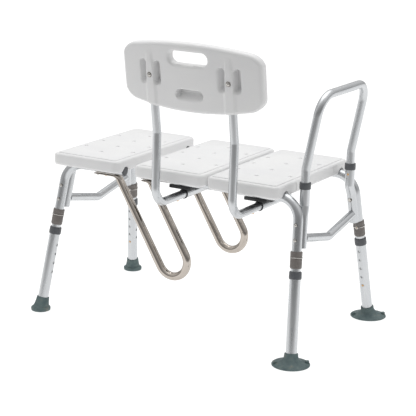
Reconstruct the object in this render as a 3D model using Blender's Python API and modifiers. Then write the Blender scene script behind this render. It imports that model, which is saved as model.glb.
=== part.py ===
"""Bath transfer bench: a seat of three panels on four splayed telescopic legs.

Metres, +Z up.  X runs along the seat, the user faces -Y and the backrest stands at +Y.
The outer end (+X) stands outside the bath on rubber tips; the inner end (-X) stands in the bath on
suction feet and carries the armrest.  Shapes are laid out about the centre of the seat, in the frame
of the empty bench_origin, which puts the middle of the whole bench over the world origin.
"""
from math import cos, pi, radians, sin, tan

import bmesh
import bpy
from mathutils import Matrix, Vector

BENCH_NAME = "bath_transfer_bench"
CUTTER_NAME = "cutters"

INCH = 0.0254
GAP = 0.0003
WELD = 1e-5

# Tubing: outside radii of the inch sizes.
LEG_R = 0.5 * INCH
EXTENSION_R = 0.5 * 1.125 * INCH
SLIM_R = 0.5 * 0.875 * INCH
BRACE_R = 0.5 * 0.875 * INCH
STUB_BORE_R = 0.0110
CURVE_BEVEL = 4
TUBE_SIDES = 12
FOOT_SIDES = 16

# Seat panels.
SEAT_TOP = 0.4460
PANEL_T = 0.035
PANEL_BOTTOM = SEAT_TOP - PANEL_T
PANEL_W = 0.2106
PANEL_D = 0.407
PANEL_CORNER = 0.018
PANEL_EDGE = 0.008
PANEL_BORDER = 0.0045
PANEL_SINK = 0.002
PANEL_X = {"outer": 0.2417, "middle": -0.0194, "inner": -0.2417}
DRAIN_R = (0.0055, 0.0042)
DRAIN_PITCH = (0.077, 0.0815)
DRAIN_ROWS = {-1: (-1.0, 0.0, 1.0), 0: (-1.5, -0.5, 0.5, 1.5), 1: (-1.0, 0.0, 1.0)}
DRAIN_SIDES = 8

# Legs.  Each straight leg line passes through (x, FRAME_Y) at the height of the frame tubes and moves
# outwards by the splay for each metre down.
FRAME_Z = 0.4115
FRAME_Y = 0.159
SPLAY_Y = 0.176
LEG_ENDS = {
    "outer": {"x": 0.3269, "splay": 0.101, "tube_start": 0.1379, "inward": -1.0,
              "foot": "rubber_tip", "foot_r": 0.0277, "foot_top": 0.037},
    "inner": {"x": -0.385, "splay": -0.0712, "tube_start": 0.0844, "inward": 1.0,
              "foot": "suction_foot", "foot_r": 0.0495, "foot_top": 0.029},
}
SIDES_Y = {"rear": 1.0, "front": -1.0}
LEG_BEND = 0.058
LEG_TUBE_END = 0.082
PLUG_T = 0.003
OUTER_CHANNEL_END = 0.320

# Heights of the pieces along each leg.
EXTENSION = (0.0110, 0.2318)
EXTENSION_COLLAR = (0.2140, 0.2335)
EXTENSION_COLLAR_WALL = 0.0018
LOCK_COLLAR = (0.2405, 0.2830)
LOCK_COLLAR_R = 0.0153
LOCK_CLIP = (0.2660, 0.2690)
LOCK_CLIP_R = 0.0170
SLIP = 0.0002

# Snap buttons and the holes they spring into.
HOLE_PITCH = INCH
HOLE_LOW = 0.0975
HOLE_COUNT = 5
HOLE_R = 0.0036
BUTTON_R = 0.0033
BUTTON_SIDES = 8
BUTTON_LENGTH = 0.0045
BUTTON_TRAVEL = 0.003
BUTTON_INSIDE = -0.0001
BUTTON_PROUD = 0.003

# Feet: (radius, height) up the flat base, then up the boss that follows the leg.
RUBBER_BASE = ((0.0267, 0.0), (0.0277, 0.002), (0.0277, 0.0075), (0.0225, 0.0110))
RUBBER_BOSS = ((0.0200, 0.0150), (0.0172, 0.037))
SUCTION_BASE = ((0.0485, 0.0), (0.0495, 0.0015), (0.0495, 0.0045), (0.0400, 0.0070), (0.0240, 0.0110))
SUCTION_BOSS = ((0.0195, 0.0160), (0.0178, 0.029))

# Second tube beside each leg.
STUB_OFFSET_Y = 0.0261
STUB = (0.285, 0.385)
STUB_BORE_DEPTH = 0.05

# Armrest and the two receivers it drops into.
ARM_X = -0.3862
ARM_Y = 0.131
ARM_END_Z = 0.394
ARM_KINK_Z = 0.483
ARM_TOP_Z = 0.673
ARM_LEAN = 0.193
ARM_CORNER = 0.052
ARM_BUTTON_Z = 0.422
RECEIVER_TOP_Z = 0.446
RECEIVER_KINK_Z = (0.389, 0.365)
ARM_COLLAR = (0.4335, 0.4505)
ARM_COLLAR_R = 0.01475

# Cross braces.
BRACE_KINK_Z = 0.279
BRACE_END = (0.1365, 0.3075)

# U-shaped rails across the curtain gap.
RAIL_Y = 0.1555
RAIL_TILT = radians(31.0)
RAIL_TURN = 0.0445
RAIL_CENTRE = (-0.0127, 0.1885)
RAIL_BEND = 0.018
TONGUE_Z = 0.3930
TONGUE_HALF = (0.0125, 0.0028)
TONGUE_ENDS = (0.235, 0.0835)
FLATTENING_STEPS = 3.5

# Backrest, measured u along it, v out of its rear and w up along its lean.
BACK_X = -0.1292
BACK_TUBE_U = 0.114
BACK_KINK = (0.2445, 0.552)
BACK_LEAN = radians(9.0)
BACK_LOW = (0.250, 0.362)
BACK_TUBE_TOP = 0.218
BACK_POCKET_LOW = 0.05
BACK_HALF_U = 0.2015
BACK_W = (0.0695, 0.2490)
BACK_CORNER = 0.036
BACK_EDGE = 0.007
BACK_BOW = 0.247
BACK_T = 0.0285
BACK_REAR = 0.0159
BACK_CURVE = 0.4125
RIDGE_HEIGHT = 0.0045
RIDGE_HALF = (0.0135, 0.0190)
RIDGE_FADE = (0.218, 0.232)
BEND_LINES = (0.04, 0.165)
HANDLE_SLOT = (0.0, 0.2105, 0.056, 0.0175)
LOW_RECESS = (0.0, 0.1165, 0.0385, 0.0138)
SIDE_RECESSES = ((0.0915, 0.166, 0.0105, 0.029), (0.1425, 0.166, 0.0110, 0.028))
RECESS_DEPTH = 0.009
CUT_REACH = 0.05

# Receivers of the backrest tubes and the black brackets that hang them under the seat.
BACK_TUBE_END_Y = 0.0
BACK_RECEIVER_Y = (-0.05, 0.110)
MOUTH_RING_Y = (0.104, 0.108)
MOUTH_RING_R = 0.0137
BACK_BUTTON_Y = 0.140
BRACKET_HALF = 0.033
BRACKET_OUTLINE = ((0.030, 0.3751), (0.100, 0.3751), (0.100, 0.3790), (0.130, 0.3790), (0.130, 0.3880),
                   (0.122, 0.3880), (0.122, PANEL_BOTTOM - GAP), (0.030, PANEL_BOTTOM - GAP))

# The middle of the bench: between the widest feet along X, and between the front suction feet and the
# rear face of the backrest along Y.
FOOT_Y = FRAME_Y + SPLAY_Y * FRAME_Z
FOOT_X = {end: leg["x"] + leg["splay"] * FRAME_Z for end, leg in LEG_ENDS.items()}
MID_X = 0.5 * (FOOT_X["outer"] + LEG_ENDS["outer"]["foot_r"]
               + FOOT_X["inner"] - LEG_ENDS["inner"]["foot_r"])
BACK_MOST_Y = BACK_KINK[0] + BACK_W[1] * sin(BACK_LEAN) + BACK_REAR * cos(BACK_LEAN)
MID_Y = 0.5 * (BACK_MOST_Y - FOOT_Y - LEG_ENDS["inner"]["foot_r"])
ORIGIN_SHIFT = (-MID_X, -MID_Y, 0.0)

AXIS_X = Vector((1.0, 0.0, 0.0))
AXIS_Y = Vector((0.0, 1.0, 0.0))
UP = Vector((0.0, 0.0, 1.0))

# Base colour, metallic, roughness.
FINISHES = {
    "white_plastic": ((0.86, 0.86, 0.87), 0.0, 0.45),
    "satin_aluminium": ((0.72, 0.74, 0.76), 1.0, 0.32),
    "chrome": ((0.62, 0.59, 0.56), 1.0, 0.10),
    "black_plastic": ((0.03, 0.03, 0.035), 0.0, 0.50),
    "grey_plastic": ((0.09, 0.10, 0.11), 0.0, 0.50),
    "taupe_plastic": ((0.16, 0.145, 0.135), 0.0, 0.50),
    "clip_steel": ((0.60, 0.58, 0.56), 1.0, 0.25),
    "brass": ((0.78, 0.55, 0.28), 1.0, 0.25),
    "foot_rubber": ((0.09, 0.14, 0.15), 0.0, 0.75),
}


# ---- scene helpers ------------------------------------------------------------------------------

def clear_scene():
    """Remove whatever the file starts with."""
    for obj in list(bpy.data.objects):
        bpy.data.objects.remove(obj, do_unlink=True)


def new_collection(name):
    """A collection linked to the scene."""
    collection = bpy.data.collections.new(name)
    bpy.context.scene.collection.children.link(collection)
    return collection


def new_material(name, colour, metallic, roughness):
    """One Principled BSDF material."""
    material = bpy.data.materials.new(name)
    material.use_nodes = True
    shader = material.node_tree.nodes["Principled BSDF"]
    shader.inputs["Base Color"].default_value = (*colour, 1.0)
    shader.inputs["Metallic"].default_value = metallic
    shader.inputs["Roughness"].default_value = roughness
    return material


def new_empty(name, place, parent=None):
    """A placement frame."""
    empty = bpy.data.objects.new(name, None)
    BENCH.objects.link(empty)
    empty.parent = parent
    empty.matrix_basis = place
    return empty


def add_part(name, data, finish, parent, place=None):
    """Link a part under its frame and give it its own material."""
    part = bpy.data.objects.new(name, data)
    BENCH.objects.link(part)
    part.parent = parent
    if place is not None:
        part.matrix_basis = place
    data.materials.append(new_material(name + "_material", *FINISHES[finish]))
    return part


def cut(part, cutter_mesh, place=None):
    """Take a cutter mesh out of a part; the cutter shares the part's frame."""
    cutter = bpy.data.objects.new(cutter_mesh.name, cutter_mesh)
    CUTTERS.objects.link(cutter)
    cutter.parent = part.parent
    cutter.matrix_basis = place if place is not None else part.matrix_basis
    cutter.hide_render = True
    cutter.display_type = "WIRE"
    modifier = part.modifiers.new(cutter_mesh.name, "BOOLEAN")
    modifier.operation = "DIFFERENCE"
    modifier.solver = "EXACT"
    modifier.object = cutter


def mesh_of(name, bm, smooth=True):
    """Close a bmesh into a mesh with smooth rounds and sharp corners."""
    bmesh.ops.recalc_face_normals(bm, faces=bm.faces)
    mesh = bpy.data.meshes.new(name)
    bm.to_mesh(mesh)
    bm.free()
    if smooth:
        mesh.shade_smooth()
        mesh.set_sharp_from_angle(angle=radians(35.0))
    return mesh


def aim(location, direction, side=None):
    """A placement whose local Z points along a direction and whose local X stays near the side."""
    z_axis = direction.normalized()
    if side is None:
        side = AXIS_Y if abs(z_axis.x) > abs(z_axis.y) else AXIS_X
    x_axis = (side - side.dot(z_axis) * z_axis).normalized()
    y_axis = z_axis.cross(x_axis)
    rotation = Matrix((x_axis, y_axis, z_axis)).transposed().to_4x4()
    return Matrix.Translation(location) @ rotation


# ---- shape helpers ------------------------------------------------------------------------------

def bore_radius(radius, sides=TUBE_SIDES):
    """Corner radius of a polygon whose flats clear the given radius."""
    return radius / cos(pi / sides)


def turned(name, profile, finish, parent, place=None, closed=False, sides=TUBE_SIDES):
    """A turned part: (radius, height) points, down the outer side, spun about local Z."""
    mesh = bpy.data.meshes.new(name)
    count = len(profile)
    edges = [(index, index + 1) for index in range(count - 1)]
    if closed:
        edges.append((count - 1, 0))
    mesh.from_pydata([(radius, 0.0, height) for radius, height in profile], edges, [])
    part = add_part(name, mesh, finish, parent, place)
    screw = part.modifiers.new("turn", "SCREW")
    screw.steps = sides
    screw.render_steps = sides
    screw.use_merge_vertices = True
    screw.merge_threshold = WELD
    return part


def sleeve(name, low, high, outer_r, inner_r, finish, parent, place=None):
    """A straight open tube with a wall, along local Z."""
    bore = bore_radius(inner_r)
    return turned(name, ((outer_r, high), (outer_r, low), (bore, low), (bore, high)), finish, parent,
                  place, closed=True)


def bent_path(points, radii, steps):
    """Points of straight runs joined by round bends."""
    path = [points[0]]
    for index in range(1, len(points) - 1):
        corner = points[index]
        radius, count = radii[index - 1], steps[index - 1]
        before = (corner - points[index - 1]).normalized()
        after = (points[index + 1] - corner).normalized()
        turn = before.angle(after)
        centre = corner + (after - before).normalized() * (radius / cos(0.5 * turn))
        arm = corner - before * (radius * tan(0.5 * turn)) - centre
        axis = before.cross(after).normalized()
        for step in range(count + 1):
            path.append(centre + Matrix.Rotation(turn * step / count, 3, axis) @ arm)
    return path + [points[-1]]


def tube(name, path, radius, finish, parent):
    """A solid round bar along a path, as a mesh with welded caps."""
    curve = bpy.data.curves.new(name + "_path", "CURVE")
    curve.dimensions = "3D"
    curve.bevel_depth = radius
    curve.bevel_resolution = CURVE_BEVEL
    curve.use_fill_caps = True
    spline = curve.splines.new("POLY")
    spline.points.add(len(path) - 1)
    for spot, point in zip(spline.points, path):
        spot.co = (*point, 1.0)
    guide = bpy.data.objects.new(name + "_path", curve)
    BENCH.objects.link(guide)
    graph = bpy.context.evaluated_depsgraph_get()
    rough = bpy.data.meshes.new_from_object(guide.evaluated_get(graph))
    bpy.data.objects.remove(guide, do_unlink=True)
    bm = bmesh.new()
    bm.from_mesh(rough)
    bmesh.ops.remove_doubles(bm, verts=bm.verts, dist=WELD)
    return add_part(name, mesh_of(name, bm), finish, parent)


def cylinders(name, rods, sides):
    """A cutter of straight rods, each (start, direction, length, radius along X, radius along Y)."""
    bm = bmesh.new()
    for start, direction, length, radius_x, radius_y in rods:
        place = aim(start + direction * (0.5 * length), direction)
        place = place @ Matrix.Diagonal((radius_x, radius_y, length, 1.0))
        turn = Matrix.Rotation(pi / sides, 4, "Z")
        bmesh.ops.create_cone(bm, cap_ends=True, segments=sides, radius1=1.0, radius2=1.0, depth=1.0,
                              matrix=place @ turn)
    return mesh_of(name, bm, smooth=False)


def add_block(bm, size, corner, segments):
    """Add a box about the origin with its four edges along Z rounded."""
    made = bmesh.ops.create_cube(bm, size=1.0, matrix=Matrix.Diagonal((*size, 1.0)))
    edges = {edge for vert in made["verts"] for edge in vert.link_edges}
    upright = [edge for edge in edges if abs(edge.verts[0].co.z - edge.verts[1].co.z) > 0.5 * size[2]]
    bmesh.ops.bevel(bm, geom=upright, offset=corner, segments=segments, profile=0.5, affect="EDGES")


def round_rims(bm, half_height, edge, segments):
    """Round the top and bottom rims of a block."""
    rims = [side for side in bm.edges
            if abs(side.verts[0].co.z - side.verts[1].co.z) < WELD
            and abs(abs(side.verts[0].co.z) - half_height) < WELD]
    bmesh.ops.bevel(bm, geom=rims, offset=edge, segments=segments, profile=0.5, affect="EDGES")


def ring(centre, axis, size_y, size_side, sides):
    """A loop of points round an axis: half sizes along bench Y and across it."""
    first = (AXIS_Y - AXIS_Y.dot(axis) * axis).normalized()
    second = axis.cross(first)
    angles = [2.0 * pi * (step + 0.5) / sides for step in range(sides)]
    return [centre + first * (size_y * cos(angle)) + second * (size_side * sin(angle))
            for angle in angles]


def loft(name, loops, finish, parent, place=None):
    """A closed body skinned over loops that differ in shape and tilt."""
    bm = bmesh.new()
    rows = [[bm.verts.new(point) for point in loop] for loop in loops]
    bm.faces.new(rows[0])
    bm.faces.new(rows[-1])
    for low, high in zip(rows, rows[1:]):
        for index, vert in enumerate(low):
            after = (index + 1) % len(low)
            bm.faces.new((vert, low[after], high[after], high[index]))
    return add_part(name, mesh_of(name, bm), finish, parent, place)


# ---- seat ---------------------------------------------------------------------------------------

def seat_panel(place_name):
    """One moulded seat panel: rounded rim, sunk top, drain holes and two channels below."""
    bm = bmesh.new()
    add_block(bm, (PANEL_W, PANEL_D, PANEL_T), PANEL_CORNER, 4)
    round_rims(bm, 0.5 * PANEL_T, PANEL_EDGE, 3)
    top = max(bm.faces, key=lambda face: face.calc_center_median().z)
    bmesh.ops.inset_region(bm, faces=[top], thickness=PANEL_BORDER)
    bmesh.ops.inset_region(bm, faces=[top], thickness=PANEL_SINK, depth=-PANEL_SINK)
    name = "seat_panel_" + place_name
    centre = Vector((PANEL_X[place_name], 0.0, SEAT_TOP - 0.5 * PANEL_T))
    panel = add_part(name, mesh_of(name, bm), "white_plastic", ORIGIN, Matrix.Translation(centre))
    drains = []
    for column, rows in DRAIN_ROWS.items():
        for row in rows:
            foot = Vector((column * DRAIN_PITCH[0], row * DRAIN_PITCH[1], -PANEL_T))
            drains.append((foot, UP, 2.0 * PANEL_T, *DRAIN_R))
    cut(panel, cylinders("drains_" + place_name, drains, DRAIN_SIDES))
    low_x, high_x = {
        "outer": (PANEL_X["outer"] - PANEL_W, OUTER_CHANNEL_END),
        "middle": (PANEL_X["middle"] - PANEL_W, PANEL_X["middle"] + PANEL_W),
        "inner": (PANEL_X["inner"] - PANEL_W, PANEL_X["inner"] + PANEL_W),
    }[place_name]
    radius = bore_radius(LEG_R + GAP)
    channels = [(Vector((low_x, sign * FRAME_Y, FRAME_Z)) - centre, AXIS_X, high_x - low_x, radius, radius)
                for sign in SIDES_Y.values()]
    cut(panel, cylinders("channels_" + place_name, channels, TUBE_SIDES))


# ---- legs ---------------------------------------------------------------------------------------

def leg_point(end, side, z):
    """Where the straight line of a leg passes a height."""
    leg = LEG_ENDS[end]
    drop = FRAME_Z - z
    return Vector((leg["x"] + leg["splay"] * drop, SIDES_Y[side] * (FRAME_Y + SPLAY_Y * drop), z))


def leg_up(end, side):
    """Unit vector up a leg."""
    return (leg_point(end, side, FRAME_Z) - leg_point(end, side, 0.0)).normalized()


def along_leg(end, side, z):
    """Distance from the floor along a leg at a height."""
    return z / leg_up(end, side).z


def leg_frame(end, side):
    """The frame of one leg: origin where it meets the floor, local Z up it, local X inwards along Y."""
    inwards = Vector((0.0, -SIDES_Y[side], 0.0))
    return new_empty("leg_axis_%s_%s" % (end, side), aim(leg_point(end, side, 0.0), leg_up(end, side),
                                                         inwards), ORIGIN)


def snap_button(name, owner, location, way, tube_r, proud, parent):
    """A snap button in a pocket of the tube it rides in, its dome proud of the tube's wall."""
    crown = tube_r + proud
    floor = crown - BUTTON_LENGTH - BUTTON_TRAVEL - GAP
    pocket_r = bore_radius(BUTTON_R + GAP, BUTTON_SIDES)
    pocket = cylinders(name + "_pocket", [(location + way * floor, way, 2.0 * tube_r, pocket_r, pocket_r)],
                       BUTTON_SIDES)
    cut(owner, pocket)
    dome = ((0.0, 0.0), (0.4 * BUTTON_R, 0.0), (0.8 * BUTTON_R, -0.0006), (BUTTON_R, -0.0018),
            (BUTTON_R, -BUTTON_LENGTH), (0.0, -BUTTON_LENGTH))
    turned(name, dome, "brass", parent, aim(location + way * crown, way), sides=BUTTON_SIDES)


def frame_leg(end, side):
    """One bent tube: across under the seat, then down as the inner tube of a leg."""
    tag = "%s_%s" % (end, side)
    leg = LEG_ENDS[end]
    way = AXIS_X * -leg["inward"]
    mouth = Vector((leg["tube_start"], SIDES_Y[side] * FRAME_Y, FRAME_Z))
    path = bent_path([mouth + way * (PLUG_T + GAP), leg_point(end, side, FRAME_Z),
                      leg_point(end, side, LEG_TUBE_END)], [LEG_BEND], [7])
    bar = tube("frame_tube_" + tag, path, LEG_R, "satin_aluminium", ORIGIN)
    turned("frame_plug_" + tag, ((0.0, PLUG_T), (LEG_R, PLUG_T), (LEG_R, 0.0), (0.0, 0.0)),
           "grey_plastic", ORIGIN, aim(mouth, way, AXIS_Y))
    up = leg_up(end, side)
    inwards = Vector((0.0, -SIDES_Y[side], 0.0))
    inwards = (inwards - inwards.dot(up) * up).normalized()
    snap_button("leg_button_" + tag, bar, leg_point(end, side, HOLE_LOW), inwards, LEG_R, BUTTON_INSIDE,
                ORIGIN)


def leg_extension(end, side, frame):
    """The outer tube of a leg with two staggered columns of adjustment holes."""
    tag = "%s_%s" % (end, side)
    low, high = (along_leg(end, side, z) for z in EXTENSION)
    bar = sleeve("leg_extension_" + tag, low, high, EXTENSION_R, LEG_R + GAP, "satin_aluminium", frame)
    second_way = AXIS_Y * (LEG_ENDS[end]["inward"] * SIDES_Y[side])
    holes = []
    for count in range(HOLE_COUNT):
        height = along_leg(end, side, HOLE_LOW) + count * HOLE_PITCH
        holes.append((UP * height + AXIS_X * BUTTON_R, AXIS_X, LEG_R, HOLE_R, HOLE_R))
        if count < HOLE_COUNT - 1:
            height += 0.5 * HOLE_PITCH
            holes.append((UP * height + second_way * BUTTON_R, second_way, LEG_R, HOLE_R, HOLE_R))
    cut(bar, cylinders("leg_holes_" + tag, holes, BUTTON_SIDES))


def leg_collars(end, side, frame):
    """The dark collar capping the extension, the taupe lock collar above it and its spring clip."""
    tag = "%s_%s" % (end, side)
    low, high = (along_leg(end, side, z) for z in EXTENSION_COLLAR)
    lip = along_leg(end, side, EXTENSION[1]) + GAP
    rim_r = EXTENSION_R + EXTENSION_COLLAR_WALL
    lip_r = bore_radius(LEG_R + GAP)
    bore_r = bore_radius(EXTENSION_R + SLIP)
    turned("extension_collar_" + tag,
           ((rim_r, high), (rim_r, low), (bore_r, low), (bore_r, lip), (lip_r, lip), (lip_r, high)),
           "grey_plastic", frame, closed=True)
    low, high = (along_leg(end, side, z) for z in LOCK_COLLAR)
    sleeve("lock_collar_" + tag, low, high, LOCK_COLLAR_R, LEG_R + SLIP, "taupe_plastic", frame)
    low, high = (along_leg(end, side, z) for z in LOCK_CLIP)
    sleeve("lock_clip_" + tag, low, high, LOCK_CLIP_R, LOCK_COLLAR_R + SLIP, "clip_steel", frame)


def foot(end, side):
    """A rubber foot: a flat base on the floor and a boss that follows the tilt of the leg."""
    base_profile, boss_profile = {"outer": (RUBBER_BASE, RUBBER_BOSS),
                                  "inner": (SUCTION_BASE, SUCTION_BOSS)}[end]
    floor_point = leg_point(end, side, 0.0)
    up = leg_up(end, side)
    loops = [ring(UP * z, UP, radius, radius, FOOT_SIDES) for radius, z in base_profile]
    socket_r = bore_radius(EXTENSION_R + SLIP, FOOT_SIDES)
    boss_profile += ((socket_r, LEG_ENDS[end]["foot_top"]), (socket_r, EXTENSION[0] - GAP))
    loops += [ring(leg_point(end, side, z) - floor_point, up, radius, radius, FOOT_SIDES)
              for radius, z in boss_profile]
    loft(LEG_ENDS[end]["foot"] + "_" + side, loops, "foot_rubber", ORIGIN,
         Matrix.Translation(floor_point))


# ---- second tubes, armrest, braces --------------------------------------------------------------

def second_tube_point(end, side, z):
    """Where the tube bolted beside a leg passes a height."""
    return leg_point(end, side, z) - Vector((0.0, SIDES_Y[side] * STUB_OFFSET_Y, 0.0))


def leg_stub(side):
    """The short tube bolted inside an outer leg; it carries the end of the cross brace."""
    low, high = (second_tube_point("outer", side, z) for z in STUB)
    sleeve("leg_stub_" + side, 0.0, (high - low).length, LEG_R, STUB_BORE_R, "satin_aluminium", ORIGIN,
           aim(low, high - low, AXIS_Y))


def arm_receiver(side):
    """The tube bolted inside an inner leg, with an upright mouth for the armrest, and its collar."""
    sign = SIDES_Y[side]
    kink_top, kink_low = RECEIVER_KINK_Z
    top = Vector((ARM_X, sign * ARM_Y, RECEIVER_TOP_Z))
    end_point = second_tube_point("inner", side, STUB[0])
    path = bent_path([top, Vector((ARM_X, sign * ARM_Y, kink_top)),
                      second_tube_point("inner", side, kink_low), end_point], [0.030, 0.040], [2, 2])
    bar = tube("arm_receiver_" + side, path, LEG_R, "satin_aluminium", ORIGIN)
    bore_r = bore_radius(SLIM_R + GAP)
    stub_r = bore_radius(STUB_BORE_R)
    inside = leg_up("inner", side)
    socket_floor = Vector((ARM_X, sign * ARM_Y, ARM_END_Z - GAP))
    cut(bar, cylinders("arm_socket_" + side,
                       [(socket_floor, UP, 2.0 * (RECEIVER_TOP_Z - ARM_END_Z), bore_r, bore_r),
                        (end_point - inside * STUB_BORE_DEPTH, inside, 2.0 * STUB_BORE_DEPTH, stub_r,
                         stub_r)], TUBE_SIDES))
    inwards = Vector((0.0, -sign, 0.0))
    button_axis = Vector((ARM_X, sign * ARM_Y, ARM_BUTTON_Z))
    cut(bar, cylinders("arm_hole_" + side, [(button_axis + inwards * BUTTON_R, inwards, LEG_R, HOLE_R,
                                             HOLE_R)], BUTTON_SIDES))
    low, high = (z - RECEIVER_TOP_Z for z in ARM_COLLAR)
    sleeve_r = bore_radius(LEG_R + SLIP)
    turned("arm_collar_" + side, ((ARM_COLLAR_R, high), (ARM_COLLAR_R, low), (sleeve_r, low),
                                  (sleeve_r, GAP), (bore_r, GAP), (bore_r, high)),
           "grey_plastic", ORIGIN, Matrix.Translation(top), closed=True)


def armrest():
    """The lift-out armrest: one tube bent into a loop that leans outwards, with its snap buttons."""
    top_x = ARM_X - ARM_LEAN * (ARM_TOP_Z - ARM_KINK_Z)
    half = [Vector((ARM_X, ARM_Y, ARM_END_Z)), Vector((ARM_X, ARM_Y, ARM_KINK_Z)),
            Vector((top_x, ARM_Y, ARM_TOP_Z))]
    corners = half + [Vector((point.x, -point.y, point.z)) for point in half[::-1]]
    path = bent_path(corners, [0.05, ARM_CORNER, ARM_CORNER, 0.05], [2, 6, 6, 2])
    loop = tube("armrest", path, SLIM_R, "satin_aluminium", ORIGIN)
    for side, sign in SIDES_Y.items():
        snap_button("arm_button_" + side, loop, Vector((ARM_X, sign * ARM_Y, ARM_BUTTON_Z)),
                    Vector((0.0, -sign, 0.0)), SLIM_R, BUTTON_INSIDE, ORIGIN)


def cross_brace(end):
    """The bent brace between the two second tubes at one end of the bench."""
    reach, end_z = BRACE_END
    x_end = second_tube_point(end, "rear", end_z).x
    path = bent_path([Vector((x_end, reach, end_z)), Vector((x_end, 0.0, BRACE_KINK_Z)),
                      Vector((x_end, -reach, end_z))], [0.05], [3])
    tube("cross_brace_" + end, path, BRACE_R, "satin_aluminium", ORIGIN)


# ---- rails across the curtain gap ---------------------------------------------------------------

def gap_rail(side):
    """The U-shaped rail that bridges the curtain gap, with flattened ends under the frame tubes."""
    up_way = Vector((sin(RAIL_TILT), 0.0, cos(RAIL_TILT)))
    out_way = Vector((cos(RAIL_TILT), 0.0, -sin(RAIL_TILT)))
    y = SIDES_Y[side] * RAIL_Y
    centre = Vector((RAIL_CENTRE[0], y, RAIL_CENTRE[1]))
    arms = []
    for sign, tongue_end in zip((1.0, -1.0), TONGUE_ENDS):
        start = centre + out_way * (sign * RAIL_TURN)
        rise = (TONGUE_Z - start.z) / up_way.z
        arms.append([Vector((tongue_end, y, TONGUE_Z)), start + up_way * rise,
                     start - up_way * RAIL_TURN])
    turn = 0.995 * RAIL_TURN
    path = bent_path(arms[0] + arms[1][::-1], [RAIL_BEND, turn, turn, RAIL_BEND], [3, 5, 5, 3])
    loops = []
    for index, point in enumerate(path):
        before = path[max(index - 1, 0)]
        after = path[min(index + 1, len(path) - 1)]
        from_end = min(index, len(path) - 1 - index)
        roundness = min(1.0, max(0.0, (from_end - 0.5) / FLATTENING_STEPS))
        across, through = (flat + (SLIM_R - flat) * roundness for flat in TONGUE_HALF)
        loops.append(ring(point, (after - before).normalized(), across, through, TUBE_SIDES))
    loft("gap_rail_" + side, loops, "chrome", ORIGIN)


# ---- backrest -----------------------------------------------------------------------------------

def back_point(u, v, w):
    """A point of the backrest: u along it, v out of its rear, w up along its lean."""
    lean_up = Vector((0.0, sin(BACK_LEAN), cos(BACK_LEAN)))
    rearward = Vector((0.0, cos(BACK_LEAN), -sin(BACK_LEAN)))
    return Vector((BACK_X + u, *BACK_KINK)) + rearward * v + lean_up * w


def back_side(hand, sign):
    """One backrest tube, the receiver it plugs into, its mouth ring, stop button and bracket."""
    u = sign * BACK_TUBE_U
    x = BACK_X + u
    low_y, low_z = BACK_LOW
    path = bent_path([Vector((x, BACK_TUBE_END_Y, low_z)), Vector((x, low_y, low_z)),
                      back_point(u, 0.0, 0.0), back_point(u, 0.0, BACK_TUBE_TOP)], [0.045, 0.06], [6, 2])
    bar = tube("back_tube_" + hand, path, SLIM_R, "satin_aluminium", ORIGIN)
    snap_button("back_button_" + hand, bar, Vector((x, BACK_BUTTON_Y, low_z)), -UP, SLIM_R, BUTTON_PROUD,
                ORIGIN)
    closed_y, mouth_y = BACK_RECEIVER_Y
    bore_r = bore_radius(SLIM_R + GAP)
    on_tube = aim(Vector((x, 0.0, low_z)), AXIS_Y)
    turned("back_receiver_" + hand,
           ((0.0, BACK_TUBE_END_Y - GAP), (bore_r, BACK_TUBE_END_Y - GAP), (bore_r, mouth_y),
            (LEG_R, mouth_y), (LEG_R, closed_y), (0.0, closed_y)), "satin_aluminium", ORIGIN, on_tube)
    sleeve("back_mouth_ring_" + hand, *MOUTH_RING_Y, MOUTH_RING_R, LEG_R + SLIP, "black_plastic", ORIGIN,
           on_tube)
    bm = bmesh.new()
    outline = bm.faces.new([bm.verts.new((-BRACKET_HALF, y, z)) for y, z in BRACKET_OUTLINE])
    swept = bmesh.ops.extrude_face_region(bm, geom=[outline])
    verts = [item for item in swept["geom"] if isinstance(item, bmesh.types.BMVert)]
    bmesh.ops.translate(bm, vec=(2.0 * BRACKET_HALF, 0.0, 0.0), verts=verts)
    add_part("back_bracket_" + hand, mesh_of("back_bracket_" + hand, bm, smooth=False), "black_plastic",
             ORIGIN, Matrix.Translation((x, 0.0, 0.0)))


def ridge_lift(u, w):
    """How far the rear of the backrest stands up over a tube."""
    off_line = abs(abs(u) - BACK_TUBE_U)
    across = min(1.0, max(0.0, (RIDGE_HALF[1] - off_line) / (RIDGE_HALF[1] - RIDGE_HALF[0])))
    along = min(1.0, max(0.0, (RIDGE_FADE[1] - w) / (RIDGE_FADE[1] - RIDGE_FADE[0])))
    return RIDGE_HEIGHT * across * along


def recess_place(u, w, v):
    """Placement of a cutter square to the backrest: local X along u, local Z out of the rear."""
    return aim(back_point(u, v, w), back_point(0.0, 1.0, 0.0) - back_point(0.0, 0.0, 0.0))


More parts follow.
